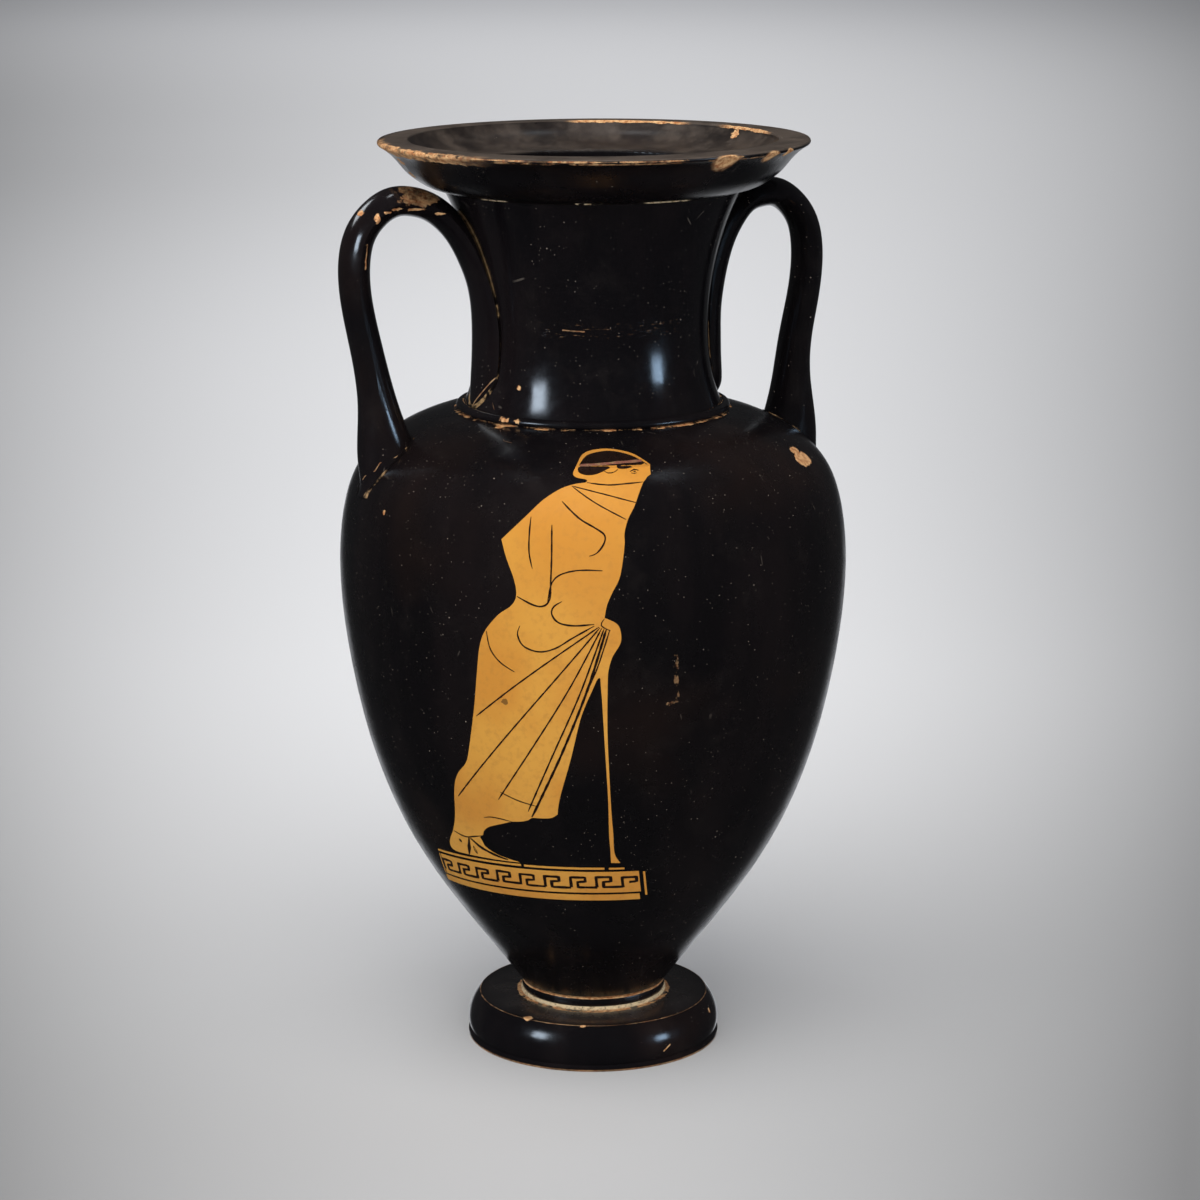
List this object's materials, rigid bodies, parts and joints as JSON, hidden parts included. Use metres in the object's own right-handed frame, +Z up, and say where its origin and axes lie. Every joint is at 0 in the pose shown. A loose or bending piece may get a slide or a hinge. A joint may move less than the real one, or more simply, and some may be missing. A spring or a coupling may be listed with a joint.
{
  "type": "amphora",
  "caption": "Black-glazed neck-amphora with flaring dished mouth, strap handles and disc foot; a draped figure over a short meander on one side.",
  "frame": {"origin": "on the vase's axis, at the plane it stands on", "axes": "+Z up along the axis; the handles lie on -X (left) and +X (right); the painted figure faces -Y"},
  "size_m": [0.1908, 0.188, 0.3414],
  "materials": {
    "glazed_foot": "black gloss with worn clay edges",
    "glazed_fillet": "black gloss, dull",
    "glazed_body": "black gloss with reserved clay figure",
    "glazed_ring": "black gloss, worn edges",
    "glazed_neck": "black gloss, scratched",
    "glazed_mouth": "black gloss, chipped rim",
    "glazed_handle": "black gloss, worn arrises",
    "clay_slip": "fired slip, matt",
    "joint_fill": "plaster fill, matt and rough"
  },
  "bodies": {
    "root": {"foot": "glazed_foot", "foot_luting_slip": "clay_slip", "foot_joint_fill": "joint_fill", "foot_fillet": "glazed_fillet", "body": "glazed_body", "neck_luting_slip": "clay_slip", "neck_ring": "glazed_ring", "neck": "glazed_neck", "mouth_luting_slip": "clay_slip", "mouth_joint_fill": "joint_fill", "mouth": "glazed_mouth", "handle_left": "glazed_handle", "handle_right": "glazed_handle", "handle_left_neck_fill": "joint_fill", "handle_left_shoulder_fill": "joint_fill", "handle_right_neck_fill": "joint_fill", "handle_right_shoulder_fill": "joint_fill"}
  },
  "joints": []
}
